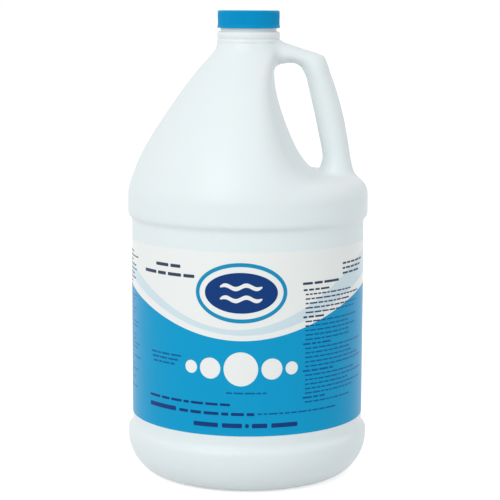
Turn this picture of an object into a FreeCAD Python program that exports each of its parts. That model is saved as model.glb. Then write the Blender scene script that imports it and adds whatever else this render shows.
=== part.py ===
"""One-gallon round jug with a hollow side handle, screw cap and wrap-round label.

Millimetres, +Z up. The origin is the centre of the base on the jug's axis,
and the handle lies towards +X.
"""
import FreeCAD
import Part
import math
import os

V = FreeCAD.Vector
UP = V(0, 0, 1)

# Blow-moulded body
wall = 1.0
foot_ring_w = 6.0
push_up = 6.0
heel_side_r = 28.0
heel_base_r = 15.0
heel_turn = 47.0
heel_rim_h = 2.0
heel_lip = 3.1
heel_step_h = 6.0
panel_r = 74.6
panel_h = 131.0
shoulder_lip = 2.5
shoulder_step_h = 5.0
shoulder_h = 11.5
cone_h = 96.5
# Points of the cone's side: share of its height, then share of the way out from the neck.
cone_side = ((0.088, 0.970), (0.212, 0.891), (0.389, 0.729), (0.575, 0.522), (0.762, 0.2925), (0.905, 0.089))

heel_rim_r = panel_r + heel_lip
heel_bend = math.radians(heel_turn)
foot_r = heel_rim_r - heel_side_r + (heel_side_r - heel_base_r) * math.cos(heel_bend)
shoulder_r = panel_r + shoulder_lip
heel_h = heel_base_r + (heel_side_r - heel_base_r) * math.sin(heel_bend)
heel_top = heel_h + heel_rim_h
panel_low = heel_top + heel_step_h
panel_top = panel_low + panel_h
shoulder_low = panel_top + shoulder_step_h
shoulder_top = shoulder_low + shoulder_h
cone_top = shoulder_top + cone_h

# Neck and screw finish
neck_r = 20.0
neck_h = 6.7
neck_ring_h = 4.6
neck_groove = 0.5
neck_ring_round = 1.2
finish_r = 17.8
finish_h = 11.0
finish_round = 0.7
mouth_r = 15.8
throat_h = 3.5
joint_lap = 0.01

neck_top = cone_top + neck_h
mouth_z = neck_top + finish_h

# Handle recess
recess_bow_r = 150.0
recess_set_in = 3.4
recess_reach = 0.585
ledge_h = 14.1
# Points of its facet: share of the cone's height, then share of the way from the neck's side to the shoulder.
recess_side = ((0.907, 0.021), (0.772, 0.0), (0.554, 0.079), (0.378, 0.193), (0.223, 0.340))

recess_x = neck_r - recess_set_in
ledge_z = shoulder_top + ledge_h

# Handle tube
arm_w = 11.7
arm_depth = 21.0
grip_w = 17.7
grip_depth = 23.5
oval_points = 16
# Sections: shares of the way from neck to shoulder and from ledge to cone top, lean, width, depth.
handle_run = (
    (-0.140, 0.927, 90.0, 1.54 * arm_w, 1.10 * arm_depth),
    (0.000, 0.917, 86.0, 1.27 * arm_w, 1.05 * arm_depth),
    (0.140, 0.907, 74.6, 0.97 * arm_w, arm_depth),
    (0.257, 0.884, 49.4, arm_w, arm_depth),
    (0.356, 0.853, 32.7, 0.88 * grip_w, (arm_depth + grip_depth) / 2),
    (0.392, 0.818, 27.8, 0.92 * grip_w, grip_depth),
    (0.429, 0.750, 15.6, 0.88 * grip_w, grip_depth),
    (0.454, 0.694, 12.5, 0.92 * grip_w, grip_depth),
    (0.541, 0.478, 9.7, grip_w, grip_depth),
    (0.617, 0.229, 6.5, grip_w, grip_depth),
    (0.646, 0.084, 0.0, 1.07 * grip_w, 1.08 * grip_depth),
    (0.630, -0.038, -2.0, 1.47 * grip_w, 1.30 * grip_depth),
    (0.626, -0.117, 0.0, 1.67 * grip_w, 1.38 * grip_depth),
)

# Screw cap and liner
thread_h = 0.8
thread_gap = 0.1
cap_wall = 0.95
cap_top_t = 1.2
cap_bead = 0.3
cap_bead_h = 1.6
cap_edge_round = 0.9
cap_foot_gap = 2.2
liner_t = 1.0
liner_gap = 0.25

cap_inner_r = finish_r + thread_h + thread_gap
cap_r = cap_inner_r + cap_wall
cap_low = neck_top + cap_foot_gap
cap_top = mouth_z + liner_t + cap_top_t

# Wrap-round label
label_gap_low = 6.0
label_gap_top = 11.2
label_t = 0.12

label_low = panel_low + label_gap_low
label_top = panel_top - label_gap_top
label_h = label_top - label_low

# Printed fields, with heights and rises as shares of the label's height
ink_t = 0.05
print_turn = -3.0
field_h = 0.523
field_rise = 0.230
band_low_h = 0.552
band_low_rise = 0.260
band_top_h = 0.583
band_top_rise = 0.342
band_shift = -3.2
badge_h = 0.782
badge_half_w = 28.5
badge_half_h = 18.5
badge_ring_w = 2.4
badge_core_gap = 3.6
bubble_h = 0.369
bubble_r = 10.6
bubble_count = 5
bubble_shrink = 0.62
bubble_gap = 2.0

# Contents
fill_drop = 19.0
fill_gap = 0.3

fill_level = cone_top - fill_drop


def arc(a, m, b):
    return Part.Arc(a, m, b).toShape()


def line(a, b):
    return Part.LineSegment(a, b).toShape()


def spline(points, tangents):
    curve = Part.BSplineCurve()
    curve.interpolate(Points=points, Tangents=tangents, TangentFlags=[t.Length > 0 for t in tangents])
    return curve


def turned(edges, bottom, top):
    """Solid of revolution about Z from edges that run from bottom to top, both on the axis side."""
    axis_low = V(0, 0, bottom.z)
    axis_top = V(0, 0, top.z)
    closing = [line(top, axis_top), line(axis_top, axis_low)]
    if bottom.x > 0:
        closing.append(line(axis_low, bottom))
    face = Part.Face(Part.Wire(edges + closing))
    solid = face.revolve(V(0, 0, 0), UP, 360)
    solid.rotate(V(0, 0, 0), UP, 180)
    return solid


def up_cone(share):
    """Height at a share of the cone's height."""
    return shoulder_top + share * cone_h


def cone_curve(inset):
    """Side of the cone from the shoulder to the neck, set in along its normals."""
    points = [V(shoulder_r, 0, shoulder_top)]
    for up, out in cone_side:
        points.append(V(neck_r + out * (shoulder_r - neck_r), 0, up_cone(up)))
    points.append(V(neck_r, 0, cone_top))
    tangents = [UP] + [V(0, 0, 0)] * len(cone_side) + [UP]
    outer = spline(points, tangents)
    moved = []
    for point in points:
        along = outer.tangent(outer.parameter(point))[0]
        moved.append(point + V(-along.z, 0, along.x) * inset)
    return spline(moved, tangents)


def step_edges(low, top, inset):
    """Two equal arcs that lead smoothly from one radius to another, set in along their normals."""
    half_d = (top.x - low.x) / 2
    half_h = (top.z - low.z) / 2
    bend = (half_d ** 2 + half_h ** 2) / (2 * abs(half_d))
    side = math.copysign(1, half_d)
    turn = 2 * math.atan2(abs(half_d), half_h)
    rising = [V(-side * math.cos(turn * share), 0, math.sin(turn * share)) for share in (0, 0.5, 1)]
    low_arc = [low + V(side * bend, 0, 0) + way * (bend + side * inset) for way in rising]
    top_arc = [top - V(side * bend, 0, 0) - way * (bend - side * inset) for way in reversed(rising)]
    return [arc(*low_arc), arc(*top_arc)]


def heel_edges(inset):
    """A tight arc up from the foot and a wider one into the side, and the point where they end."""
    base_axis = V(foot_r, 0, heel_base_r)
    side_axis = V(heel_rim_r - heel_side_r, 0, heel_h)
    half_left = (math.pi / 2 - heel_bend) / 2
    base = [base_axis + V(math.sin(turn), 0, -math.cos(turn)) * (heel_base_r - inset)
            for turn in (0, half_left, 2 * half_left)]
    side = [side_axis + V(math.cos(turn), 0, -math.sin(turn)) * (heel_side_r - inset)
            for turn in (heel_bend, heel_bend / 2, 0)]
    return [arc(*base), arc(*side)], side[-1]


def body_edges(inset):
    """Profile from the centre of the base to the top of the cone."""
    centre = V(0, 0, push_up + inset)
    ring_in = V(foot_r - foot_ring_w, 0, inset)
    ring_out = V(foot_r, 0, inset)
    heel_end = V(heel_rim_r - inset, 0, heel_top)
    dome_mid = V(ring_in.x * 0.6, 0, inset + push_up * 0.75)
    cone = cone_curve(inset)
    heel, heel_side = heel_edges(inset)
    edges = [arc(centre, dome_mid, ring_in), line(ring_in, ring_out)] + heel
    edges.append(line(heel_side, heel_end))
    edges += step_edges(V(heel_rim_r, 0, heel_top), V(panel_r, 0, panel_low), inset)
    edges.append(line(V(panel_r - inset, 0, panel_low), V(panel_r - inset, 0, panel_top)))
    edges += step_edges(V(panel_r, 0, panel_top), V(shoulder_r, 0, shoulder_low), inset)
    edges.append(line(V(shoulder_r - inset, 0, shoulder_low), cone.StartPoint))
    edges.append(cone.toShape())
    return edges, centre, cone.EndPoint


def turned_body(inset):
    edges, centre, top = body_edges(inset)
    return turned(edges, centre, top)


def recess_cutter(grow):
    """Space beside the handle: a bowed facet that runs down into a level ledge."""
    above = cone_top + neck_h / 2
    outside = 1.3 * shoulder_r
    points = [V(neck_r + neck_h / 2 - grow, 0, above)]
    for up, out in recess_side:
        points.append(V(recess_x + out * (shoulder_r - neck_r) - grow, 0, up_cone(up)))
    points.append(V(recess_x + recess_reach * (shoulder_r - neck_r), 0, ledge_z - grow))
    facet = spline(points, [V(0, 0, 0)] * (len(points) - 1) + [V(1, 0, 0)])
    ledge_end = V(outside, 0, ledge_z - grow)
    top_end = V(outside, 0, above)
    wire = Part.Wire([facet.toShape(), line(points[-1], ledge_end), line(ledge_end, top_end),
                      line(top_end, points[0])])
    bow_axis = V(recess_x - recess_bow_r, 0, 0)
    half_turn = math.degrees(math.asin(1.1 * shoulder_r / recess_bow_r)) + 10
    solid = Part.Face(wire).revolve(bow_axis, UP, 2 * half_turn)
    solid.rotate(bow_axis, UP, -half_turn)
    return solid


def handle_ring(share_x, share_z, lean, width, depth, inset):
    """Centre of the handle's section at one place of its run, and points round its oval."""
    centre = V(neck_r + share_x * (shoulder_r - neck_r), 0, ledge_z + share_z * (cone_top - ledge_z))
    across = V(math.cos(math.radians(lean)), 0, math.sin(math.radians(lean))) * (width / 2 - inset)
    along = V(0, depth / 2 - inset, 0)
    points = []
    for n in range(oval_points):
        turn = 2 * math.pi * n / oval_points
        points.append(centre + across * math.cos(turn) + along * math.sin(turn))
    return centre, points


def smooth_side(rings):
    """Surface that runs smoothly through rings of points."""
    stations = [0.0]
    for (a, _), (b, _) in zip(rings, rings[1:]):
        stations.append(stations[-1] + math.sqrt((b - a).Length))
    turns = [float(n) for n in range(oval_points + 1)]
    ovals = []
    for _, points in rings:
        oval = Part.BSplineCurve()
        oval.interpolate(Points=points, PeriodicFlag=True, Parameters=turns)
        ovals.append(oval)
    runs = []
    for poles in zip(*(oval.getPoles() for oval in ovals)):
        run = Part.BSplineCurve()
        run.interpolate(Points=list(poles), Parameters=stations)
        runs.append(run)
    surface = Part.BSplineSurface()
    surface.buildFromPolesMultsKnots([run.getPoles() for run in runs], ovals[0].getMultiplicities(),
                                     runs[0].getMultiplicities(), ovals[0].getKnots(), runs[0].getKnots(),
                                     True, False, ovals[0].Degree, runs[0].Degree)
    return surface.toShape()


def handle_tube(inset):
    """Handle from inside the neck, round its corner and down through the ledge."""
    side = smooth_side([handle_ring(*place, inset) for place in handle_run])
    ends = [Part.Face(Part.Wire([edge])) for edge in side.Edges if edge.isClosed()]
    shell = Part.Shell([side] + ends)
    shell.sewShape()
    solid = Part.Solid(shell)
    if solid.Volume < 0:
        solid.reverse()
    return solid


def jug_form(inset):
    """Body with its recess and handle, with no neck finish."""
    body = turned_body(inset).cut(recess_cutter(inset))
    return body.fuse(handle_tube(inset))


def neck_solid():
    """Neck under the finish, its ring, and the finish that the cap screws onto."""
    low = V(neck_r, 0, cone_top - joint_lap)
    groove_z = neck_top - neck_ring_h
    points = [low, V(neck_r, 0, groove_z - neck_groove), V(neck_r - neck_groove, 0, groove_z),
              V(neck_r, 0, groove_z + neck_groove), V(neck_r, 0, neck_top - neck_ring_round)]
    edges = [line(a, b) for a, b in zip(points, points[1:])]
    bend = math.sin(math.pi / 4)
    ring_in = V(neck_r - neck_ring_round, 0, neck_top)
    ring_mid = ring_in + V(neck_ring_round * bend, 0, -neck_ring_round * (1 - bend))
    edges.append(arc(points[-1], ring_mid, ring_in))
    finish_low = V(finish_r, 0, neck_top)
    finish_side = V(finish_r, 0, mouth_z - finish_round)
    finish_in = V(finish_r - finish_round, 0, mouth_z)
    finish_mid = finish_in + V(finish_round * bend, 0, -finish_round * (1 - bend))
    edges += [line(ring_in, finish_low), line(finish_low, finish_side)]
    edges.append(arc(finish_side, finish_mid, finish_in))
    return turned(edges, low, finish_in)


def throat():
    """Hollow of the neck, from the top of the cone out through the mouth."""
    low = V(neck_r - wall, 0, cone_top - joint_lap)
    narrow = V(mouth_r, 0, cone_top + throat_h)
    top = V(mouth_r, 0, mouth_z + wall)
    return turned([line(low, narrow), line(narrow, top)], low, top)


def bottle():
    outer = jug_form(0).fuse(neck_solid())
    inner = jug_form(wall).fuse(throat())
    return outer.cut(inner)


def bleach_fill():
    """Liquid up to the fill level, just clear of the wall."""
    side = 4 * shoulder_r
    below = Part.makeBox(side, side, fill_level, V(-side / 2, -side / 2, 0))
    return jug_form(wall + fill_gap).common(below)


def cap():
    """Cap with a rounded top edge, a bead round its foot and a plain skirt inside."""
    outer = Part.makeCylinder(cap_r, cap_top - cap_low, V(0, 0, cap_low))
    rim = [edge for edge in outer.Edges if abs(edge.BoundBox.ZMin - cap_top) < 0.01 and edge.Length > cap_r]
    outer = outer.makeFillet(cap_edge_round, rim)
    bead = Part.makeCylinder(cap_r + cap_bead, cap_bead_h, V(0, 0, cap_low))
    hollow = Part.makeCylinder(cap_inner_r, cap_top - cap_top_t - cap_low, V(0, 0, cap_low))
    return outer.fuse(bead).removeSplitter().cut(hollow)


def cap_liner():
    return Part.makeCylinder(cap_inner_r - liner_gap, liner_t, V(0, 0, mouth_z))


def ring(inner_r, thickness, low, top):
    outer = Part.makeCylinder(inner_r + thickness, top - low, V(0, 0, low))
    return outer.cut(Part.makeCylinder(inner_r, top - low, V(0, 0, low)))


def label():
    return ring(panel_r, label_t, label_low, label_top)


def film():
    """Thin layer of ink as high as the label, from which each printed field is cut."""
    return ring(panel_r + label_t, ink_t, label_low, label_top)


def turned_to_front(shape):
    """Turn a piece of print about the axis to the middle of the front panel."""
    shape.rotate(V(0, 0, 0), UP, print_turn)
    return shape


def up_label(share):
    """Height at a share of the label's height."""
    return label_low + share * label_h


def under_wave(middle_h, rise, shift):
    """Block whose top is a parabola across the jug: on the label it draws one wave front and back."""
    reach = 1.5 * panel_r
    points = []
    for share in (-1, -0.5, 0, 0.5, 1):
        x = share * reach
        points.append(V(shift + x, -reach, up_label(middle_h + rise * (x / panel_r) ** 2)))
    end_slope = 2 * rise * label_h * reach / panel_r ** 2
    inner = [V(0, 0, 0)] * 3
    top = spline(points, [V(1, 0, -end_slope)] + inner + [V(1, 0, end_slope)])
    low_left = V(points[0].x, -reach, 0)
    low_right = V(points[-1].x, -reach, 0)
    wire = Part.Wire([top.toShape(), line(points[-1], low_right), line(low_right, low_left),
                      line(low_left, points[0])])
    return Part.Face(wire).extrude(V(0, 2 * reach, 0))


def badge_prism(inset):
    """Oval of the badge, as deep as the front half of the jug."""
    centre = V(0, 0, up_label(badge_h))
    edge = Part.Ellipse(centre, badge_half_w - inset, badge_half_h - inset).toShape()
    edge.rotate(centre, V(1, 0, 0), 90)
    return Part.Face(Part.Wire([edge])).extrude(V(0, -2 * panel_r, 0))


def bubble_row():
    """Row of round bubbles on the front, smaller towards both ends."""
    middle = (bubble_count - 1) / 2
    radii = [bubble_r * bubble_shrink ** abs(n - middle) for n in range(bubble_count)]
    x = -(sum(2 * r for r in radii) + bubble_gap * (bubble_count - 1)) / 2
    bubbles = []
    for radius in radii:
        axis_start = V(x + radius, 0, up_label(bubble_h))
        bubbles.append(Part.makeCylinder(radius, 2 * panel_r, axis_start, V(0, -1, 0)))
        x += 2 * radius + bubble_gap
    return bubbles


def print_lower_field():
    field = film().common(under_wave(field_h, field_rise, 0))
    for bubble in bubble_row():
        field = field.cut(bubble)
    return turned_to_front(field)


def print_pale_band():
    band = film().common(under_wave(band_top_h, band_top_rise, band_shift))
    band = band.cut(under_wave(band_low_h, band_low_rise, 0))
    return turned_to_front(band.cut(badge_prism(0)))


def print_badge_ring():
    outline = badge_prism(0).cut(badge_prism(badge_ring_w))
    return turned_to_front(film().common(outline))


def print_badge_core():
    return turned_to_front(film().common(badge_prism(badge_ring_w + badge_core_gap)))


def main():
    os.makedirs("parts", exist_ok=True)
    pieces = [bottle, bleach_fill, cap, cap_liner, label, print_lower_field, print_pale_band,
              print_badge_ring, print_badge_core]
    for piece in pieces:
        shape = piece()
        shape.exportStep("parts/" + piece.__name__ + ".step")
        print(piece.__name__, "valid" if shape.isValid() else "INVALID", len(shape.Solids),
              "solid", round(shape.Volume), "mm3")
    print("brimful", round(jug_form(wall).fuse(throat()).Volume), "mm3")


if __name__ == "__main__":
    main()
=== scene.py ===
import math
import random

import bmesh
import bpy
import numpy as np
import openvdb
from mathutils import Matrix, Vector
from mathutils.bvhtree import BVHTree


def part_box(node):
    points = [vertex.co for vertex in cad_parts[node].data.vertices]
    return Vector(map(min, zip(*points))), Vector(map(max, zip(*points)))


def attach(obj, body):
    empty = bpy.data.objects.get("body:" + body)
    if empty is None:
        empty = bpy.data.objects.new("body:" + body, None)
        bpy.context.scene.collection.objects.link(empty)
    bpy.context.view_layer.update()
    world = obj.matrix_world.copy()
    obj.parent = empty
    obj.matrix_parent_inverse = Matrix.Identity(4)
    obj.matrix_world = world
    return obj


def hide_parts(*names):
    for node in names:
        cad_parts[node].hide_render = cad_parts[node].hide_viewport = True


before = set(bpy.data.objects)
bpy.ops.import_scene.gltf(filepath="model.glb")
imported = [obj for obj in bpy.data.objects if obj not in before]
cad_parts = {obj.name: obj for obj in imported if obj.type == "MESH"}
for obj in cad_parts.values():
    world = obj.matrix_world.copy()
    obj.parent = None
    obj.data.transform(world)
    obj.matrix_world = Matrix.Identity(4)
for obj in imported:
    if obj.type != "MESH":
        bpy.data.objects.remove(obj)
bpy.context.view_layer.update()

MM = 0.001

# Photograph's camera, with its place in metres
image_px = 500
focal_px = 1660.0
centre_px = (247.7, 251.5)
camera_back = 1.063
camera_height = 0.3017
camera_tilt = math.radians(8.55)
camera_roll = math.radians(0.25)
sensor_mm = 36.0

# Light: places and sizes of lamps in metres, powers in watts
white = (1, 1, 1, 1)
world_tint = (0.955, 0.98, 1.0, 1)
world_light = 0.72
lamps = (("key", (-0.85, -1.45, 1.3), 12.5), ("fill", (1.5, -1.0, 0.7), 1.0))
lamp_size = 1.2
lamp_aim = (0, 0, 0.15)
floor_half_w = 30000.0
floor_z = -0.2
floor_colour = (0.76, 0.77, 0.77, 1)
floor_roughness = 0.9
floor_shine = 0.1
floor_lift = 0.62

# Surfaces: screen colour, roughness, depth and fineness of the grain, light let in, shine
looks = {
    "white_polythene": ((239, 243, 243), 0.42, 0.12, 500.0, 0.15, 0.5),
    "pale_liquid": ((240, 243, 214), 0.10, 0.0, 400.0, 0.0, 0.5),
    "blue_plastic": ((0, 150, 204), 0.40, 0.10, 900.0, 0.0, 0.08),
    "white_film": ((245, 246, 243), 0.30, 0.05, 900.0, 0.0, 0.3),
    "blue_ink": ((10, 159, 209), 0.34, 0.05, 900.0, 0.0, 0.1),
    "pale_ink": ((214, 232, 238), 0.30, 0.05, 900.0, 0.0, 0.3),
    "mid_blue_ink": ((14, 146, 192), 0.30, 0.05, 900.0, 0.0, 0.15),
    "navy_ink": ((16, 60, 124), 0.34, 0.05, 900.0, 0.0, 0.1),
    "dark_ink": ((60, 70, 96), 0.34, 0.05, 900.0, 0.0, 0.1),
    "deep_blue_ink": ((6, 96, 160), 0.34, 0.05, 900.0, 0.0, 0.1),
    "white_foam": ((240, 240, 236), 0.70, 0.40, 1500.0, 0.0, 0.5),
}
gloss_spread = 0.05
grain_h = 0.0002
scatter_reach = 0.004

# Jug, in millimetres
wall = 1.0
foot_ring_w = 6.0
push_up = 6.0
push_up_mid = (0.6, 0.75)
heel_side_r = 28.0
heel_base_r = 15.0
heel_bend = math.radians(47.0)
heel_steps = 12
heel_rim_h = 2.0
heel_lip = 3.1
heel_step_h = 6.0
panel_r = 74.6
panel_h = 131.0
shoulder_lip = 2.5
shoulder_step_h = 5.0
shoulder_h = 11.5
cone_h = 96.5
# Shares of the cone's height and of its overhang beyond the neck
cone_side = ((0.088, 0.970), (0.212, 0.891), (0.389, 0.729), (0.575, 0.522), (0.762, 0.2925), (0.905, 0.089))
heel_rim_r = panel_r + heel_lip
foot_r = heel_rim_r - heel_side_r + (heel_side_r - heel_base_r) * math.cos(heel_bend)
shoulder_r = panel_r + shoulder_lip
heel_h = heel_base_r + (heel_side_r - heel_base_r) * math.sin(heel_bend)
heel_top = heel_h + heel_rim_h
panel_low = heel_top + heel_step_h
panel_top = panel_low + panel_h
shoulder_low = panel_top + shoulder_step_h
shoulder_top = shoulder_low + shoulder_h
cone_top = shoulder_top + cone_h

# Neck and screw finish
neck_r = 20.0
neck_h = 6.7
neck_proud = 0.03
neck_ring_h = 4.6
neck_groove = 0.5
neck_ring_round = 1.2
neck_segments = 200
finish_r = 17.8
finish_h = 11.0
finish_round = 0.7
finish_rows = 45
mouth_r = 15.8
throat_h = 3.5
throat_foot_r = neck_r - 1.3 * wall
throat_foot_h = 2 * wall
throat_segments = 120
thread_h = 0.8
thread_pitch = 4.233
thread_turns = 1.4
thread_w = 2.4
thread_start = 1.9
thread_fade = 0.08
neck_top = cone_top + neck_h
mouth_z = neck_top + finish_h

# Handle and the recess beside it
recess_bow_r = 150.0
recess_x = 16.6
recess_reach = 0.585
# Shares of the cone's height and, out from the recess, of its overhang
recess_side = ((0.907, 0.021), (0.772, 0.0), (0.554, 0.079), (0.378, 0.193), (0.223, 0.340))
ledge_h = 14.1
ledge_z = shoulder_top + ledge_h
recess_blend_low = 11.0
recess_blend_top = 3.5
ledge_drop = 1.6
handle_blend = 4.0
arm_w = 11.7
arm_depth = 21.0
grip_w = 17.7
grip_depth = 23.5
# Handle from its upper root to its lower one: share of the overhang, share of the height above the ledge,
# lean of the section in degrees, its width and its depth from front to back
handle_run = (
    (-0.140, 0.927, 90.0, 1.54 * arm_w, 1.10 * arm_depth),
    (0.000, 0.917, 86.0, 1.27 * arm_w, 1.05 * arm_depth),
    (0.140, 0.907, 74.6, 0.97 * arm_w, arm_depth),
    (0.257, 0.884, 49.4, arm_w, arm_depth),
    (0.356, 0.853, 32.7, 0.88 * grip_w, (arm_depth + grip_depth) / 2),
    (0.392, 0.818, 27.8, 0.92 * grip_w, grip_depth),
    (0.429, 0.750, 15.6, 0.88 * grip_w, grip_depth),
    (0.454, 0.694, 12.5, 0.92 * grip_w, grip_depth),
    (0.541, 0.478, 9.7, grip_w, grip_depth),
    (0.617, 0.229, 6.5, grip_w, grip_depth),
    (0.646, 0.084, 0.0, 1.07 * grip_w, 1.08 * grip_depth),
    (0.630, -0.038, -2.0, 1.47 * grip_w, 1.30 * grip_depth),
    (0.626, -0.117, 0.0, 1.67 * grip_w, 1.38 * grip_depth),
)

# Cap
cap_low, cap_high = (v[2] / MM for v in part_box("cap"))
cap_wall = 0.95
cap_inner_r = 18.7
cap_r = cap_inner_r + cap_wall
cap_top_t = 1.2
cap_top_rings = (0, 6, 12)
cap_bead = 0.3
cap_bead_h = 1.6
cap_bead_top = ((0.1, 0.05), (0.0, 0.3))
cap_edge_round = 0.9
cap_foot_cut = 0.2
rib_count = 120
rib_points = 6
rib_depth = 0.28
rib_fade = 0.8
rib_fade_mid = 0.3

# Liquid
fill_gap = 0.3
fill_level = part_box("bleach_fill")[1][2] / MM

# Grids of distances to the jug, and the voxel sizes for its outside, its inside and the liquid
outer_voxel = 1.75
inner_voxel = 3.6
grid_half_w = shoulder_r + 5.0
grid_low = -4.0
grid_top = cone_top + 6.0
body_run_on = 0.6
body_grid = ((-2.0, -6.0), (90.0, cone_top + 8.0))
recess_low = 150.0
recess_run_on = 40.0
recess_grid = ((-12.0, recess_low), (100.0, cone_top + 30.0))
handle_low = (-12.0, -30.0, 167.5)
handle_high = (88.0, 30.0, 295.5)
handle_step = 1.1
handle_run_on = 30.0
far_off = 99.0
far_point = Vector((500.0, 0.0, 240.0))

# Label and print: lengths run round the label, heights and rises are shares of the label's height
label_low, label_top = (v[2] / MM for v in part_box("label"))
label_h = label_top - label_low
label_t = 0.12
label_r = panel_r + label_t
ink_t = 0.05
line_ink_t = 0.6 * ink_t
band_lift = -0.5 * ink_t
oval_points = 96
print_turn = math.radians(-3.0)
field_h = 0.523
field_rise = 0.230
field_steps = 240
band_low_h = 0.552
band_low_rise = 0.260
band_top_h = 0.583
band_top_rise = 0.342
band_shift = -3.2
badge_h = 0.782
badge_half_w = 28.5
badge_half_h = 18.5
badge_ring_w = 2.4
badge_core_gap = 3.6
bubble_h = 0.369
bubble_r = 10.6
bubble_count = 5
bubble_shrink = 0.62
bubble_gap = 2.0
wave_half_w = 13.0
wave_w = 2.6
wave_rise = 1.1
wave_length = 13.0
wave_gap = 7.4
wave_end = 0.08
wave_squareness = 6
wave_steps = 60
bend_step = 2.0

# Small print as lines of dashes: from and to a length round the label, height above its foot, height of a dash
foot_line_h = 6.6
line_pitch = 2.8
fine_dash_h = 0.9
heading_dash_h = 1.15
bold_dash_h = 1.3
print_lines = (
    (-64.0, -43.5, 103.4, 2.0),
    (-76.0, -33.5, 98.0, 2.0),
    (35.0, 64.0, 93.6, 1.5),
    (-70.5, -10.5, 19.6, 1.6),
    (-70.5, -47.0, 14.0, 2.8),
    (-44.5, 4.5, 13.8, 1.9),
    (6.5, 62.0, 14.0, 1.0),
    (-34.0, -3.0, foot_line_h, 2.8),
    (3.0, 32.0, foot_line_h, 2.8),
    (-13.0, 12.0, 27.0, 1.0),
    (68.0, 96.0, 103.2, 1.2),
    (68.0, 93.0, 100.1, 1.2),
    (68.0, 90.0, 97.0, 1.2),
    (-69.0, -43.0, 47.6, 1.1),
    (-68.0, -45.5, 44.8, 1.1),
    (-67.0, -48.0, 42.0, 1.1),
)

# Columns of small print: left edge, height of the top line, number of lines, least and greatest width
right_column = (36.0, 89.6, 26, 38.0, 61.0)
left_column = (-150.0, 106.4, 32, 46.0, 66.0)
heading_every = 6
heading_width = (14.0, 30.0)
heading_out = 0.5
line_in = 1.0
dot_r = 1.3
dot_points = 16
print_seed = 7

# Dashes: lengths, the shortest rest of a line and gaps, as multiples of a dash's height
dash_length = (2.2, 6.5)
dash_rest = 3.2
dash_gap = 0.9
dash_cut = 0.3

# A radius this near a side lies on it, and edges sharper than the angles stay crisp
on_side = 0.001
crisp_angle = 35.0
crisp_moulded_angle = 50.0


def srgb(red, green, blue):
    """Linear colour from 8-bit screen values."""
    linear = []
    for value in (red, green, blue):
        share = value / 255
        linear.append(share / 12.92 if share <= 0.04045 else ((share + 0.055) / 1.055) ** 2.4)
    return (*linear, 1.0)


def new_object(name, points, faces, body=None, slot=None):
    """Object from points in millimetres, riding on a body where one is given; the slot argument is not used."""
    mesh = bpy.data.meshes.new(name)
    mesh.from_pydata([tuple(p) for p in np.asarray(points) * MM], [], [tuple(f) for f in faces])
    mesh.update()
    piece = bpy.data.objects.new(name, mesh)
    bpy.context.scene.collection.objects.link(piece)
    if body:
        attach(piece, body)
    return piece


def shade(piece, angle=crisp_angle):
    """Smooth shading, with edges sharper than an angle kept crisp."""
    bm = bmesh.new()
    bm.from_mesh(piece.data)
    bmesh.ops.remove_doubles(bm, verts=bm.verts, dist=1e-6)
    bmesh.ops.recalc_face_normals(bm, faces=bm.faces)
    for face in bm.faces:
        face.smooth = True
    for edge in bm.edges:
        edge.smooth = len(edge.link_faces) == 2 and edge.calc_face_angle(0) < math.radians(angle)
    bm.to_mesh(piece.data)
    bm.free()


def arc_through(a, m, b, count=12):
    """Points of the arc from a through m to b."""
    (ax, ay), (mx, my), (bx, by) = a, m, b
    d = 2 * (ax * (my - by) + mx * (by - ay) + bx * (ay - my))
    sa, sm, sb = ax * ax + ay * ay, mx * mx + my * my, bx * bx + by * by
    cx = (sa * (my - by) + sm * (by - ay) + sb * (ay - my)) / d
    cy = (sa * (bx - mx) + sm * (ax - bx) + sb * (mx - ax)) / d
    radius = math.hypot(ax - cx, ay - cy)
    start = math.atan2(ay - cy, ax - cx)
    through = math.atan2(my - cy, mx - cx)
    end = math.atan2(by - cy, bx - cx)
    full = 2 * math.pi
    sweep = (end - start) % full
    if (through - start) % full > sweep:
        sweep -= full
    turns = [start + sweep * n / count for n in range(count + 1)]
    return [(cx + radius * math.cos(turn), cy + radius * math.sin(turn)) for turn in turns]


def round_edge(side_r, top_z, radius, count):
    """Quarter arc that rounds the edge between a side and a top, from the side inwards."""
    diagonal = math.sin(math.pi / 4)
    inner_r = side_r - radius
    middle = (inner_r + radius * diagonal, top_z - radius * (1 - diagonal))
    return arc_through((side_r, top_z - radius), middle, (inner_r, top_z), count)


def smooth_through(points, start=None, end=None, per=14, spans=None):
    """Points of the smooth curve through given points, with end directions where they are given."""
    p = np.array(points, float)
    h = np.linalg.norm(np.diff(p, axis=0), axis=1) if spans is None else spans
    count = len(p)
    system = np.zeros((count, count))
    right = np.zeros_like(p)
    for n in range(1, count - 1):
        system[n, n - 1:n + 2] = h[n], 2 * (h[n - 1] + h[n]), h[n - 1]
        right[n] = 3 * (h[n] * (p[n] - p[n - 1]) / h[n - 1] + h[n - 1] * (p[n + 1] - p[n]) / h[n])
    for row, other, direction, span in ((0, 1, start, h[0]), (-1, -2, end, h[-1])):
        system[row, row] = 1
        if direction is None:
            system[row, other] = 0.5
            chord = p[1] - p[0] if row == 0 else p[-1] - p[-2]
            right[row] = 1.5 * chord / span
        else:
            right[row] = direction
    slope = np.linalg.solve(system, right)
    curve = []
    for n in range(count - 1):
        for t in np.linspace(0, 1, per, endpoint=False):
            curve.append((1 + 2 * t) * (1 - t) ** 2 * p[n] + t * (1 - t) ** 2 * h[n] * slope[n]
                         + t * t * (3 - 2 * t) * p[n + 1] - t * t * (1 - t) * h[n] * slope[n + 1])
    curve.append(p[-1])
    return np.array(curve)


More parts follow.
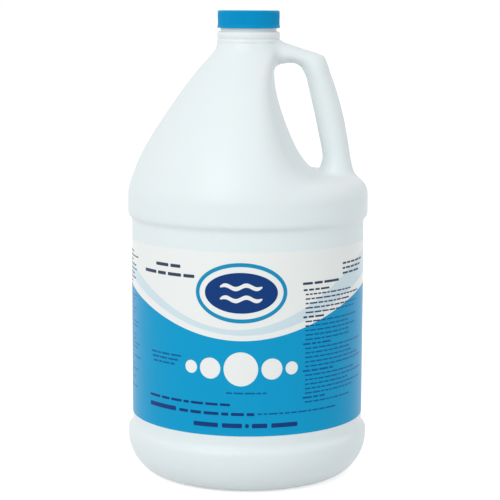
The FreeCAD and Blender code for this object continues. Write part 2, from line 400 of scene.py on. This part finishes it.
def step_points(r_low, z_low, r_top, z_top):
    """Two equal arcs that lead smoothly from one radius to another."""
    half_d = (r_top - r_low) / 2
    half_h = (z_top - z_low) / 2
    bend = (half_d ** 2 + half_h ** 2) / (2 * abs(half_d))
    turn = math.asin(half_h / bend)
    sag = math.copysign(bend * (1 - math.cos(turn / 2)), half_d)
    rise = bend * math.sin(turn / 2)
    mid = (r_low + half_d, z_low + half_h)
    return (arc_through((r_low, z_low), (r_low + sag, z_low + rise), mid, 6)
            + arc_through(mid, (r_top - sag, z_top - rise), (r_top, z_top), 6))


def cone_place(up, out, inner_r):
    """Point at shares of the cone's height and of its overhang, out from an inner radius."""
    return inner_r + out * (shoulder_r - neck_r), shoulder_top + up * cone_h


def body_outline():
    """Half profile of the jug, from the centre of the base to the neck."""
    ring_in = foot_r - foot_ring_w
    points = arc_through((0, push_up), (push_up_mid[0] * ring_in, push_up_mid[1] * push_up), (ring_in, 0))
    for axis_r, axis_z, radius, start, end in (
            (foot_r, heel_base_r, heel_base_r, math.pi / 2, heel_bend),
            (heel_rim_r - heel_side_r, heel_h, heel_side_r, heel_bend, 0)):
        for turn in np.linspace(start, end, heel_steps + 1):
            points.append((axis_r + radius * math.cos(turn), axis_z - radius * math.sin(turn)))
    points += step_points(heel_rim_r, heel_top, panel_r, panel_low)
    points += step_points(panel_r, panel_top, shoulder_r, shoulder_low)
    cone = [(shoulder_r, shoulder_top)]
    cone += [cone_place(up, out, neck_r) for up, out in cone_side]
    cone.append((neck_r, cone_top))
    return points + [tuple(p) for p in smooth_through(cone, start=(0, 1), end=(0, 1))]


def recess_outline():
    """Profile of the space beside the handle, measured out from the bow's axis."""
    above = cone_top + neck_h / 2
    far_above = cone_top + recess_run_on
    outside = 1.5 * shoulder_r
    ledge = ledge_z - ledge_drop
    side = [(neck_r + neck_h / 2, above)]
    side += [cone_place(up, out, recess_x) for up, out in recess_side]
    side.append((recess_x + recess_reach * (shoulder_r - neck_r), ledge))
    curve = [tuple(p) for p in smooth_through(side, end=(1, 0))]
    return [(side[0][0] + far_above - above, far_above)] + curve + [(outside, ledge), (outside, far_above)]


def plane_field(outline, low, high, step=0.6):
    """Signed distance to a closed outline, on a grid."""
    u, v = np.meshgrid(np.arange(low[0], high[0], step), np.arange(low[1], high[1], step), indexing="ij")
    nearest = np.full(u.shape, 1e12)
    inside = np.zeros(u.shape, bool)
    for (au, av), (bu, bv) in zip(outline, outline[1:] + outline[:1]):
        du, dv = bu - au, bv - av
        length = du * du + dv * dv
        if length == 0:
            continue
        along = np.clip(((u - au) * du + (v - av) * dv) / length, 0, 1)
        nearest = np.minimum(nearest, (u - au - along * du) ** 2 + (v - av - along * dv) ** 2)
        if dv != 0:
            inside ^= ((av > v) != (bv > v)) & (u < au + (v - av) * du / dv)
    return low, step, np.where(inside, -1, 1) * np.sqrt(nearest)


def read_plane(plane, u, v):
    """Distances between the points of a flat grid."""
    low, step, values = plane
    gu = np.clip((u - low[0]) / step, 0, values.shape[0] - 1.001)
    gv = np.clip((v - low[1]) / step, 0, values.shape[1] - 1.001)
    iu, iv = gu.astype(int), gv.astype(int)
    fu, fv = gu - iu, gv - iv
    return ((values[iu, iv] * (1 - fu) + values[iu + 1, iv] * fu) * (1 - fv)
            + (values[iu, iv + 1] * (1 - fu) + values[iu + 1, iv + 1] * fu) * fv)


def handle_tree(per=12, around=64):
    """Search tree of the handle tube's side, run on straight past both ends inside the jug."""
    rows = []
    for share_x, share_z, lean, width, depth in handle_run:
        x = neck_r + share_x * (shoulder_r - neck_r)
        z = ledge_z + share_z * (cone_top - ledge_z)
        turn = math.radians(lean)
        rows.append((x, z, math.cos(turn) * width / 2, math.sin(turn) * width / 2, depth / 2))
    rows = np.array(rows)
    spans = np.sqrt(np.linalg.norm(np.diff(rows[:, :2], axis=0), axis=1))
    runs = smooth_through(rows, per=per, spans=spans)
    runs = np.array([runs[0] - (handle_run_on, 0, 0, 0, 0), *runs, runs[-1] - (0, handle_run_on, 0, 0, 0)])
    points, faces = [], []
    for x, z, across_x, across_z, half_d in runs:
        for n in range(around):
            c, s = math.cos(2 * math.pi * n / around), math.sin(2 * math.pi * n / around)
            points.append((x + c * across_x, s * half_d, z + c * across_z))
    for row in range(len(runs) - 1):
        for n in range(around):
            a, b = row * around + n, row * around + (n + 1) % around
            faces.append((a, b, b + around, a + around))
    return BVHTree.FromPolygons(points, faces)


def distance_grid(tree, low, high, step):
    """Signed distances to a closed surface on a grid."""
    near, normal, _, _ = tree.find_nearest(far_point)
    sign = 1 if (far_point - near).dot(normal) > 0 else -1
    axes = [np.arange(a, b, step) for a, b in zip(low, high)]
    values = np.empty([len(axis) for axis in axes])
    for i, x in enumerate(axes[0]):
        for j, y in enumerate(axes[1]):
            for k, z in enumerate(axes[2]):
                point = Vector((x, y, z))
                near, normal, _, gap = tree.find_nearest(point)
                values[i, j, k] = gap if sign * (point - near).dot(normal) > 0 else -gap
    return np.array(low), step, values


def read_grid(grid, points):
    """Distances between the points of a grid."""
    low, step, values = grid
    at = np.clip((points - low) / step, 0, np.array(values.shape) - 1.001)
    i, j, k = at.astype(int).T
    u, v, w = (at - at.astype(int)).T
    face = [values[i, j, k + n] * (1 - u) * (1 - v) + values[i + 1, j, k + n] * u * (1 - v)
            + values[i, j + 1, k + n] * (1 - u) * v + values[i + 1, j + 1, k + n] * u * v for n in (0, 1)]
    return face[0] * (1 - w) + face[1] * w


def smooth_min(a, b, blend):
    """Lesser of two distances, with a soft change from one to the other."""
    mix = np.clip(0.5 + 0.5 * (b - a) / blend, 0, 1)
    return b * (1 - mix) + a * mix - blend * mix * (1 - mix)


class JugField:
    """Signed distance to the jug's outside, below the neck ring."""

    def __init__(self):
        half = body_outline() + [(neck_r, cone_top + body_run_on)]
        self.body = plane_field(half + [(-r, z) for r, z in reversed(half)], *body_grid)
        self.recess = plane_field(recess_outline(), *recess_grid)
        self.bow_x = recess_x - recess_bow_r
        self.handle = distance_grid(handle_tree(), handle_low, handle_high, handle_step)

    def __call__(self, points):
        x, y, z = points[:, 0], points[:, 1], points[:, 2]
        body = read_plane(self.body, np.hypot(x, y), z)
        bowed = np.hypot(x - self.bow_x, y) + self.bow_x
        recess = np.where(z > recess_low, read_plane(self.recess, bowed, z), far_off)
        up = np.clip((z - ledge_z) / (cone_top - ledge_z), 0, 1)
        jug = -smooth_min(-body, recess, recess_blend_low + up * (recess_blend_top - recess_blend_low))
        near = np.all((points > handle_low) & (points < np.array(handle_high) - handle_step), axis=1)
        if near.any():
            jug[near] = smooth_min(jug[near], read_grid(self.handle, points[near]), handle_blend)
        return jug


def surface(field, voxel, level):
    """Even quads where a field has a level, evened out and drawn back onto it three times."""
    own_share, nudge, least_slope = 0.4, 0.05, 0.2
    across = np.arange(-grid_half_w, grid_half_w, voxel)
    upward = np.arange(grid_low, grid_top, voxel)
    x, y, z = np.meshgrid(across, across, upward, indexing="ij")
    values = field(np.column_stack([x.ravel(), y.ravel(), z.ravel()])).reshape(x.shape)
    grid = openvdb.FloatGrid(background=10.0)
    grid.copyFromArray(values.astype(np.float32))
    grid.transform = openvdb.createLinearTransform(voxelSize=voxel)
    points, quads = grid.convertToQuads(isovalue=level)
    points = points.astype(float) + (across[0], across[0], upward[0])
    edges = np.concatenate([quads[:, [n, (n + 1) % 4]] for n in range(4)])
    for _ in range(3):
        for _ in range(2):
            total = np.zeros_like(points)
            count = np.zeros(len(points))
            np.add.at(total, edges[:, 0], points[edges[:, 1]])
            np.add.at(count, edges[:, 0], 1)
            points = own_share * points + (1 - own_share) * total / count[:, None]
        for _ in range(3):
            here = field(points)
            slope = np.column_stack([field(points + nudge * axis) - here for axis in np.eye(3)]) / nudge
            size = np.maximum((slope ** 2).sum(axis=1), least_slope)
            points -= ((here - level) / size)[:, None] * slope
    return points, quads


def turned_mesh(name, rows, segments, body=None, slot=None, move=None):
    """Closed piece turned about the axis from rows of (radius, height), first and last on the axis."""
    points = [(0, 0, rows[0][1]), (0, 0, rows[-1][1])]
    rings = []
    for radius, height in rows[1:-1]:
        ring = []
        for n in range(segments):
            turn = 2 * math.pi * n / segments
            r = radius + move(turn, radius, height) if move else radius
            ring.append(len(points))
            points.append((r * math.cos(turn), r * math.sin(turn), height))
        rings.append(ring)
    faces = []
    for n in range(segments):
        m = (n + 1) % segments
        faces.append((0, rings[0][m], rings[0][n]))
        faces.append((1, rings[-1][n], rings[-1][m]))
        for low, high in zip(rings, rings[1:]):
            faces.append((low[n], low[m], high[m], high[n]))
    return new_object(name, points, faces, body, slot)


def thread_ridge(turn, radius, height):
    """How far the screw thread stands out of the finish."""
    if abs(radius - finish_r) > on_side:
        return 0.0
    start = neck_top + thread_start
    at = turn / (2 * math.pi)
    along = round((height - start) / thread_pitch - at) + at
    if along < 0 or along > thread_turns:
        return 0.0
    off = abs(height - start - thread_pitch * along)
    flank = min(1.0, max(0.0, (thread_w / 2 - off) / (thread_w / 4)))
    ends = min(1.0, along / thread_fade, (thread_turns - along) / thread_fade)
    return thread_h * flank * flank * (3 - 2 * flank) * max(0.0, ends)


def neck_rows():
    """Outside of the neck from just under the groove to the top of the mouth."""
    groove_z = neck_top - neck_ring_h
    side_top = mouth_z - finish_round
    proud_r = neck_r + neck_proud
    rows = [(0, cone_top), (proud_r, cone_top), (proud_r, groove_z - neck_groove), (neck_r - neck_groove, groove_z),
            (neck_r, groove_z + neck_groove), (neck_r, neck_top - neck_ring_round)]
    rows += round_edge(neck_r, neck_top, neck_ring_round, 6)[1:]
    for n in range(finish_rows + 1):
        rows.append((finish_r, neck_top + (side_top - neck_top) * n / finish_rows))
    return rows + round_edge(finish_r, mouth_z, finish_round, 5)[1:] + [(0, mouth_z)]


def combine(base, other, operation):
    """Union or difference of two closed pieces, left in the first."""
    modifier = base.modifiers.new("combine", "BOOLEAN")
    modifier.operation = operation
    modifier.solver = "EXACT"
    modifier.object = other
    shaped = bpy.data.meshes.new_from_object(base.evaluated_get(bpy.context.evaluated_depsgraph_get()))
    base.modifiers.clear()
    base.data = shaped
    bpy.data.objects.remove(other)


def make_bottle():
    """Hollow blown jug with its handle and its threaded neck, one piece, and the liquid in it."""
    jug_field = JugField()

    def liquid_field(points):
        """Signed distance to the liquid: inside the wall and below the fill level."""
        return np.maximum(jug_field(points) + wall + fill_gap, points[:, 2] - fill_level)

    jug = new_object("bottle_shell", *surface(jug_field, outer_voxel, 0.0), "bottle", "white_hdpe")
    combine(jug, turned_mesh("neck", neck_rows(), neck_segments, move=thread_ridge), "UNION")
    combine(jug, new_object("inside", *surface(jug_field, inner_voxel, -wall)), "DIFFERENCE")
    throat_foot = cone_top - throat_foot_h
    throat = [(0, throat_foot), (throat_foot_r, throat_foot), (mouth_r, cone_top + throat_h),
              (mouth_r, mouth_z + wall), (0, mouth_z + wall)]
    combine(jug, turned_mesh("throat", throat, throat_segments), "DIFFERENCE")
    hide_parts("bottle")
    shade(jug, crisp_moulded_angle)

    liquid = new_object("liquid", *surface(liquid_field, inner_voxel, 0.0), "bottle", "pale_liquid")
    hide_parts("bleach_fill")
    shade(liquid)
    return jug, liquid


def make_cap():
    """Screw cap with fine ribs round its side and a bead round its foot."""
    side_low = cap_low + cap_bead_h
    side_top = cap_high - cap_edge_round
    bead_r = cap_r + cap_bead
    inner_top = cap_high - cap_top_t
    rows = [(r, cap_high) for r in (*cap_top_rings, cap_r - cap_edge_round)]
    rows += reversed(round_edge(cap_r, cap_high, cap_edge_round, 6)[:-1])
    rows += [(cap_r, side_top - rib_fade_mid), (cap_r, side_top - rib_fade)]
    rows += [(cap_r, side_low + rib_fade), (cap_r, side_low + rib_fade_mid), (cap_r, side_low)]
    rows += [(bead_r - inward, side_low - down) for inward, down in cap_bead_top]
    rows += [(bead_r, cap_low + cap_foot_cut), (bead_r - cap_foot_cut, cap_low)]
    rows += [(cap_inner_r + cap_foot_cut, cap_low), (cap_inner_r, cap_low + cap_foot_cut)]
    rows += [(cap_inner_r, inner_top), (0, inner_top)]

    def ribs(turn, radius, height):
        """How far the side is cut in between the ribs, fading out at both ends."""
        if abs(radius - cap_r) > on_side:
            return 0.0
        weight = min(1.0, (side_top - height) / rib_fade, (height - side_low) / rib_fade)
        return -rib_depth * max(0.0, weight) * (0.5 - 0.5 * math.cos(rib_count * turn)) ** 2

    cap = turned_mesh("screw_cap", rows, rib_count * rib_points, "cap", "blue_cap", ribs)
    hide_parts("cap")
    shade(cap, crisp_moulded_angle)
    return cap


def filled(loops):
    """Flat mesh inside closed outlines, the first the outer one and the others holes."""
    bm = bmesh.new()
    edges = []
    for loop in loops:
        verts = [bm.verts.new((s, z, 0)) for s, z in loop]
        edges += [bm.edges.new((a, b)) for a, b in zip(verts, verts[1:] + verts[:1])]
    bmesh.ops.triangle_fill(bm, edges=edges, use_beauty=True, use_dissolve=False, normal=(0, 0, 1))
    return bm


def wrapped(name, flats, slot, lift=0.0, thick=ink_t, start=print_turn):
    """Thin print bent round the jug from flat shapes in (length round, height)."""
    points, faces = [], []
    for bm in flats:
        low = min(v.co.x for v in bm.verts)
        high = max(v.co.x for v in bm.verts)
        for n in range(math.ceil(low / bend_step), math.floor(high / bend_step) + 1):
            bmesh.ops.bisect_plane(bm, geom=bm.verts[:] + bm.edges[:] + bm.faces[:], dist=1e-4,
                                   plane_co=(n * bend_step, 0, 0), plane_no=(1, 0, 0))
        bm.verts.index_update()
        base = len(points)
        count = len(bm.verts)
        for layer_r in (label_r + lift + thick, label_r + lift):
            for vert in bm.verts:
                turn = vert.co.x / label_r + start
                points.append((layer_r * math.sin(turn), -layer_r * math.cos(turn), vert.co.y))
        for face in bm.faces:
            ids = [base + v.index for v in face.verts]
            faces.append(ids)
            faces.append([i + count for i in reversed(ids)])
        for edge in bm.edges:
            if len(edge.link_faces) == 1:
                a, b = (base + v.index for v in edge.verts)
                faces.append((a, b, b + count, a + count))
        bm.free()
    piece = new_object(name, points, faces, "bottle", slot)
    shade(piece)
    return piece


def oval(half_w, half_h, s, z, count=oval_points):
    """Outline of an oval round a place on the label."""
    turns = [2 * math.pi * n / count for n in range(count)]
    return [(s + half_w * math.cos(turn), z + half_h * math.sin(turn)) for turn in turns]


def up_label(share):
    """Height at a share of the label's height."""
    return label_low + share * label_h


def wave_height(s, middle_h, rise, shift=0.0):
    """Height of a printed wave, which is a parabola as seen from the front or the back."""
    across = panel_r * math.sin(s / label_r) - shift
    return up_label(middle_h + rise * (across / panel_r) ** 2)


def bubble_places():
    """Place round the label and radius of each bubble, the greatest in the middle."""
    middle = (bubble_count - 1) / 2
    radii = [bubble_r * bubble_shrink ** abs(n - middle) for n in range(bubble_count)]
    s = -(sum(2 * r for r in radii) + bubble_gap * (bubble_count - 1)) / 2
    places = []
    for radius in radii:
        places.append((s + radius, radius))
        s += 2 * radius + bubble_gap
    return places


def make_film():
    """Plastic label film wrapped round the panel."""
    section = [(panel_r, label_low), (label_r, label_low), (label_r, label_top), (panel_r, label_top)]
    points, faces = [], []
    for n in range(360):
        turn = math.radians(n)
        points += [(r * math.cos(turn), r * math.sin(turn), z) for r, z in section]
        a, b = 4 * n, 4 * ((n + 1) % 360)
        faces += [(a + k, b + k, b + (k + 1) % 4, a + (k + 1) % 4) for k in range(4)]
    label = new_object("label_film", points, faces, "bottle", "label_white")
    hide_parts("label")
    shade(label)
    return label


def make_fields():
    """Blue lower field with its row of bubbles left bare, and the pale band above its wave."""
    half = math.pi * label_r
    across = [-half + 2 * half * n / field_steps for n in range(field_steps + 1)]
    foot = [(s, label_low) for s in across]
    top = [(s, wave_height(s, field_h, field_rise)) for s in reversed(across)]
    bubbles = [oval(radius, radius, s, up_label(bubble_h)) for s, radius in bubble_places()]
    field = wrapped("print_field", [filled([foot + top] + bubbles)], "ink_blue")
    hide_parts("print_lower_field")

    low_edge, top_edge = [], []
    for s in across:
        low = wave_height(s, band_low_h, band_low_rise)
        high = min(wave_height(s, band_top_h, band_top_rise, band_shift), label_top)
        if high > low:
            low_edge.append((s, low))
            top_edge.append((s, high))
    band = wrapped("print_band", [filled([low_edge + top_edge[::-1]])], "ink_pale_blue", lift=band_lift)
    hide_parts("print_pale_band")
    return field, band


def make_badge():
    """Oval line of the badge and its dark middle."""

    def badge_oval(inset):
        """Outline of the badge, set in from its edge."""
        return oval(badge_half_w - inset, badge_half_h - inset, 0, up_label(badge_h))

    ring = wrapped("badge_ring", [filled([badge_oval(0), badge_oval(badge_ring_w)])], "ink_mid_blue", lift=ink_t)
    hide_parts("print_badge_ring")
    core = wrapped("badge_core", [filled([badge_oval(badge_ring_w + badge_core_gap)])], "ink_navy", lift=ink_t)
    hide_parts("print_badge_core")
    return ring, core


def bar(low_s, high_s, middle_z, height):
    """Outline of a plain printed dash with its corners taken off."""
    half = height / 2
    cut = dash_cut * half
    low_z, high_z = middle_z - half, middle_z + half
    return [(low_s + cut, low_z), (high_s - cut, low_z), (high_s, low_z + cut), (high_s, high_z - cut),
            (high_s - cut, high_z), (low_s + cut, high_z), (low_s, high_z - cut), (low_s, low_z + cut)]


def dashes(draw, low_s, high_s, up, height):
    """Line of plain dashes of uneven lengths at a height above the label's foot."""
    line = []
    s = low_s
    while s < high_s:
        end = s + height * draw.uniform(*dash_length)
        if high_s - end < dash_rest * height:
            end = high_s
        line.append((s, end, label_low + up, height))
        s = end + dash_gap * height
    return line


def print_rows(draw):
    """All lines of small print: single lines, then the right column with its headings and the left one."""
    rows = list(print_lines)
    edge, top, count, least, most = right_column
    for n in range(count):
        up = top - line_pitch * n
        if n % heading_every == 0:
            rows.append((edge - heading_out, edge + draw.uniform(*heading_width), up, heading_dash_h))
        else:
            rows.append((edge + line_in, edge + draw.uniform(least, most), up, fine_dash_h))
    edge, top, count, least, most = left_column
    for n in range(count):
        rows.append((edge, edge + draw.uniform(least, most), top - line_pitch * n, fine_dash_h))
    return rows


def make_bars():
    """Lines of plain dashes where the label has its small print, in three inks."""
    draw = random.Random(print_seed)
    dot = filled([oval(dot_r, dot_r, 0, label_low + foot_line_h, dot_points)])
    on_white, bold, fine = [], [dot], []
    for row in print_rows(draw):
        for low_s, high_s, z, height in dashes(draw, *row):
            middle = (low_s + high_s) / 2 - label_r * print_turn
            if z > wave_height(middle, field_h, field_rise):
                ink = on_white
            else:
                ink = bold if height > bold_dash_h else fine
            ink.append(filled([bar(low_s, high_s, z, height)]))
    inks = (("print_lines_dark", on_white), ("print_lines_navy", bold), ("print_lines_blue", fine))
    return [wrapped(name, flats, "ink_navy", lift=ink_t, thick=line_ink_t, start=0.0) for name, flats in inks]


def make_badge_waves():
    """Two plain wave strips across the badge."""
    flats = []
    for up in (wave_gap / 2, -wave_gap / 2):
        low_side, high_side = [], []
        for s in np.linspace(-wave_half_w, wave_half_w, wave_steps + 1):
            z = up_label(badge_h) + (up + wave_rise * math.sin(2 * math.pi * s / wave_length))
            taper = math.sqrt(max(0.0, 1 - (s / wave_half_w) ** wave_squareness))
            half = wave_w / 2 * max(wave_end, taper)
            low_side.append((s, z - half))
            high_side.append((s, z + half))
        flats.append(filled([low_side + high_side[::-1]]))
    return wrapped("badge_waves", flats, "label_white", lift=2 * ink_t)


def make_material(name, colour, roughness, grain, grain_scale, scatter, shine):
    """Moulded or printed surface with fine variation in its gloss and a slight texture."""
    material = bpy.data.materials.new(name)
    material.use_nodes = True
    nodes, links = material.node_tree.nodes, material.node_tree.links
    shader = nodes["Principled BSDF"]
    shader.inputs["Base Color"].default_value = srgb(*colour)
    shader.inputs["Subsurface Weight"].default_value = scatter
    shader.inputs["Subsurface Scale"].default_value = scatter_reach
    shader.inputs["Specular IOR Level"].default_value = shine
    place = nodes.new("ShaderNodeTexCoord")
    noise = nodes.new("ShaderNodeTexNoise")
    noise.inputs["Scale"].default_value = grain_scale
    noise.inputs["Detail"].default_value = 3.0
    links.new(place.outputs["Object"], noise.inputs["Vector"])
    span = nodes.new("ShaderNodeMapRange")
    span.inputs["To Min"].default_value = roughness - gloss_spread
    span.inputs["To Max"].default_value = roughness + gloss_spread
    links.new(noise.outputs["Fac"], span.inputs["Value"])
    links.new(span.outputs["Result"], shader.inputs["Roughness"])
    bump = nodes.new("ShaderNodeBump")
    bump.inputs["Strength"].default_value = grain
    bump.inputs["Distance"].default_value = grain_h
    links.new(noise.outputs["Fac"], bump.inputs["Height"])
    links.new(bump.outputs["Normal"], shader.inputs["Normal"])
    return material


def dress(piece, material):
    """Give a piece one material."""
    piece.data.materials.clear()
    piece.data.materials.append(material)


def area_lamp(name, place, power):
    """Square lamp aimed at the middle of the jug."""
    lamp = bpy.data.lights.new(name, "AREA")
    lamp.shape = "RECTANGLE"
    lamp.size = lamp.size_y = lamp_size
    lamp.energy = power
    holder = bpy.data.objects.new(name, lamp)
    bpy.context.scene.collection.objects.link(holder)
    holder.location = place
    holder.rotation_euler = (Vector(lamp_aim) - Vector(place)).to_track_quat("-Z", "Y").to_euler()


def camera_ray_share(nodes, links):
    """One where the camera, a mirror-like or a clear surface looks, and nothing elsewhere."""
    path = nodes.new("ShaderNodeLightPath")
    share = path.outputs["Is Camera Ray"]
    for kind in ("Is Glossy Ray", "Is Transmission Ray"):
        either = nodes.new("ShaderNodeMath")
        either.operation = "MAXIMUM"
        links.new(share, either.inputs[0])
        links.new(path.outputs[kind], either.inputs[1])
        share = either.outputs[0]
    return share


def make_world():
    """Surroundings that look white and light the jug with a faint cool tint."""
    world = bpy.data.worlds.new("studio")
    bpy.context.scene.world = world
    world.use_nodes = True
    nodes, links = world.node_tree.nodes, world.node_tree.links
    back = nodes["Background"]
    back.inputs["Color"].default_value = world_tint
    back.inputs["Strength"].default_value = world_light
    seen = nodes.new("ShaderNodeBackground")
    seen.inputs["Color"].default_value = white
    seen.inputs["Strength"].default_value = 1.0
    mix = nodes.new("ShaderNodeMixShader")
    links.new(camera_ray_share(nodes, links), mix.inputs[0])
    links.new(back.outputs[0], mix.inputs[1])
    links.new(seen.outputs[0], mix.inputs[2])
    links.new(mix.outputs[0], nodes["World Output"].inputs["Surface"])


def make_floor():
    """Wide pale floor, lifted to the white of the surroundings where it is seen."""
    corners = [(x * floor_half_w, y * floor_half_w, floor_z) for x, y in ((-1, -1), (1, -1), (1, 1), (-1, 1))]
    floor = new_object("floor", corners, [(0, 1, 2, 3)])
    material = bpy.data.materials.new("pale_floor")
    material.use_nodes = True
    nodes, links = material.node_tree.nodes, material.node_tree.links
    shader = nodes["Principled BSDF"]
    shader.inputs["Base Color"].default_value = floor_colour
    shader.inputs["Roughness"].default_value = floor_roughness
    shader.inputs["Specular IOR Level"].default_value = floor_shine
    glow = nodes.new("ShaderNodeEmission")
    glow.inputs["Color"].default_value = white
    strength = nodes.new("ShaderNodeMath")
    strength.operation = "MULTIPLY"
    strength.inputs[1].default_value = floor_lift
    links.new(camera_ray_share(nodes, links), strength.inputs[0])
    links.new(strength.outputs[0], glow.inputs["Strength"])
    both = nodes.new("ShaderNodeAddShader")
    links.new(shader.outputs[0], both.inputs[0])
    links.new(glow.outputs[0], both.inputs[1])
    links.new(both.outputs[0], nodes["Material Output"].inputs["Surface"])
    dress(floor, material)


def make_camera():
    """Camera that takes the photograph's view."""
    scene = bpy.context.scene
    scene.view_settings.view_transform = "Standard"
    data = bpy.data.cameras.new("camera")
    camera = bpy.data.objects.new("camera", data)
    scene.collection.objects.link(camera)
    scene.camera = camera
    data.sensor_width = sensor_mm
    data.lens = sensor_mm * focal_px / image_px
    data.shift_x = (image_px / 2 - centre_px[0]) / image_px
    data.shift_y = (centre_px[1] - image_px / 2) / image_px
    data.clip_end = 100
    aim = Matrix.Rotation(math.pi / 2 - camera_tilt, 4, "X") @ Matrix.Rotation(camera_roll, 4, "Z")
    camera.matrix_world = Matrix.Translation((0, -camera_back, camera_height)) @ aim


make_camera()
make_world()
make_floor()
for lamp_name, lamp_place, lamp_power in lamps:
    area_lamp(lamp_name, lamp_place, lamp_power)

jug, liquid = make_bottle()
cap = make_cap()
label = make_film()
field, band = make_fields()
ring, core = make_badge()
dark_lines, navy_lines, blue_lines = make_bars()
waves = make_badge_waves()

materials = {name: make_material(name, *look) for name, look in looks.items()}
for piece, look in (
        (jug, "white_polythene"), (liquid, "pale_liquid"), (cap, "blue_plastic"), (label, "white_film"),
        (field, "blue_ink"), (band, "pale_ink"), (ring, "mid_blue_ink"), (core, "navy_ink"),
        (dark_lines, "dark_ink"), (navy_lines, "navy_ink"), (blue_lines, "deep_blue_ink"), (waves, "white_film"),
        (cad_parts["cap_liner"], "white_foam")):
    dress(piece, materials[look])
